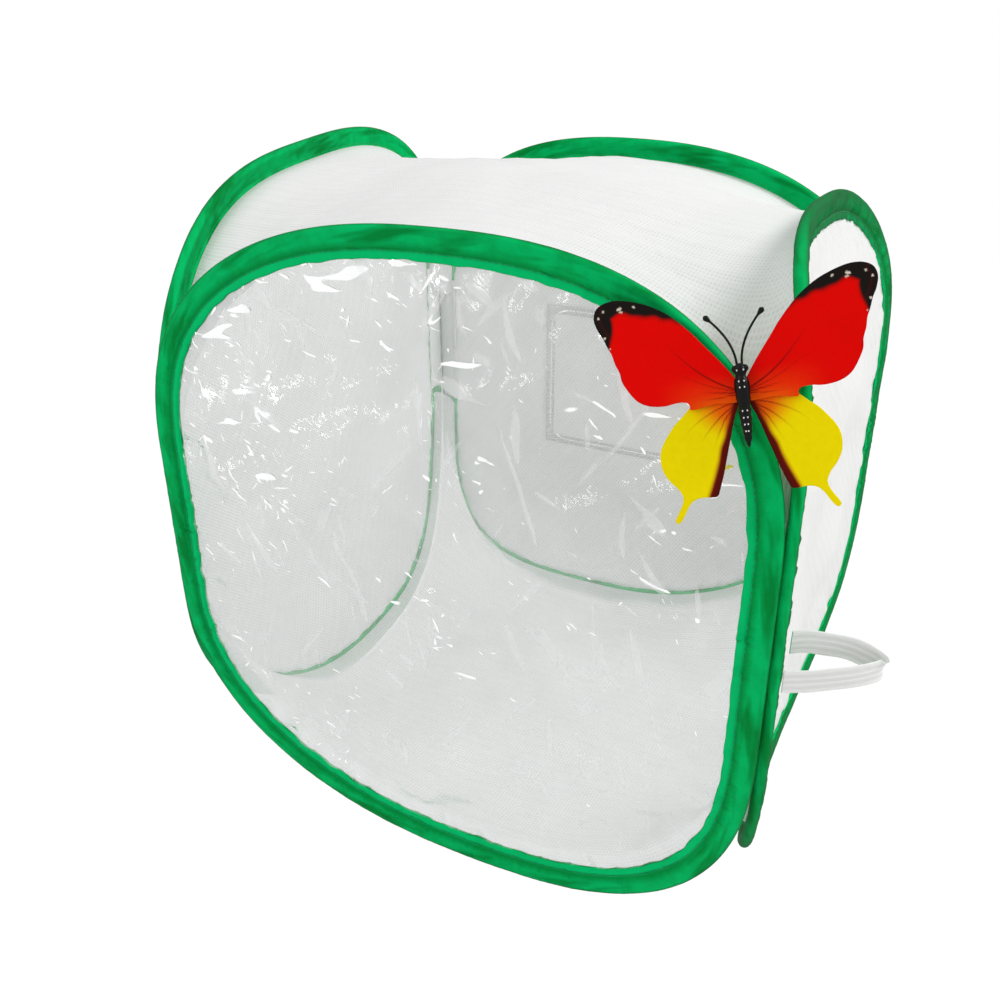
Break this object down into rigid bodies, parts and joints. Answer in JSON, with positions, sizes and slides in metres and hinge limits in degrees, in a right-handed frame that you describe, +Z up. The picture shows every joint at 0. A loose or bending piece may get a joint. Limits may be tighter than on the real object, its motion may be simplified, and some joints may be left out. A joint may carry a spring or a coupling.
{
  "type": "insect cage",
  "caption": "Pop-up cube cage of sprung wire hoops in green tape, with white mesh sides, a clear front window, a zipped door, an elastic loop and a clip-on butterfly.",
  "frame": {"origin": "on the ground, in the middle of the four upright corner seams", "axes": "+Z up, the clear front window faces -Y, +X to the right seen from the front"},
  "size_m": [0.3941, 0.3226, 0.3193],
  "materials": {
    "wire": "drawn spring wire",
    "ferrule": "plain crimped tube",
    "tape": "green satin binding tape",
    "film": "clear flexible film",
    "mesh": "fine white netting",
    "floor_cloth": "fine white netting",
    "zip_tape": "white woven tape",
    "zip_coil": "white nylon coil",
    "zip_metal": "plain metal",
    "elastic": "white ribbed elastic",
    "magnet": "plated",
    "hindwing_sheet": "printed yellow sheet",
    "forewing_sheet": "printed red sheet",
    "black_shell": "moulded black"
  },
  "bodies": {
    "front": {"front_wire_hoop": "wire", "front_ferrule": "ferrule", "front_binding": "tape", "front_window": "film", "top_mesh_panel": "mesh", "floor_panel": "floor_cloth", "elastic_loop": "elastic"},
    "right": {"right_wire_hoop": "wire", "right_ferrule": "ferrule", "right_binding": "tape", "right_mesh_panel": "mesh"},
    "left": {"left_wire_hoop": "wire", "left_ferrule": "ferrule", "left_binding": "tape", "left_mesh_panel": "mesh"},
    "back": {"back_wire_hoop": "wire", "back_ferrule": "ferrule", "back_binding": "tape", "back_mesh_panel": "mesh", "zip_frame_tape": "zip_tape", "zip_frame_coil": "zip_coil"},
    "door": {"door_mesh_flap": "mesh", "zip_door_tape": "zip_tape", "zip_door_coil": "zip_coil"},
    "zip_slider": {"zip_slider": "zip_metal"},
    "zip_pull": {"zip_pull": "zip_metal"},
    "butterfly": {"butterfly_magnet": "magnet", "butterfly_hindwings": "hindwing_sheet", "butterfly_forewings": "forewing_sheet", "butterfly_body": "black_shell", "butterfly_left_antenna": "black_shell", "butterfly_right_antenna": "black_shell"}
  },
  "joints": [
    {"name": "right_fold", "type": "hinge", "parent": "front", "child": "right", "pos_m": [0.1586, -0.14559, 0.16], "axis": [0, 0, 1], "range_deg": [0, 44], "stiffness_Nm_per_rad": 0.03, "deforming": ["top_mesh_panel", "floor_panel"]},
    {"name": "left_fold", "type": "hinge", "parent": "front", "child": "left", "pos_m": [-0.1474, -0.14559, 0.16], "axis": [0, 0, 1], "range_deg": [0, 44]},
    {"name": "back_fold", "type": "hinge", "parent": "right", "child": "back", "pos_m": [0.1474, 0.14559, 0.16], "axis": [0, 0, 1], "range_deg": [-44, 0]},
    {"name": "door_hinge", "type": "hinge", "parent": "back", "child": "door", "pos_m": [0.04199, 0.13524, 0.15539], "axis": [0, 0, -1], "range_deg": [0, 120]},
    {"name": "zip_slide", "type": "slide", "parent": "back", "child": "zip_slider", "axis": [-1, 0, 0], "range_m": [0, 0.096]},
    {"name": "pull_hinge", "type": "hinge", "parent": "zip_slider", "child": "zip_pull", "pos_m": [0.04999, 0.13849, 0.20239], "axis": [0, 0, 1], "range_deg": [0, 150]},
    {"name": "butterfly_pull_off", "type": "slide", "parent": "front", "child": "butterfly", "axis": [0.2156, -0.9121, 0.3486], "range_m": [0, 0.05]}
  ],
  "couplings": [
    {"joint": "left_fold", "follows": "right_fold", "ratio": 1},
    {"joint": "back_fold", "follows": "right_fold", "ratio": -1}
  ]
}
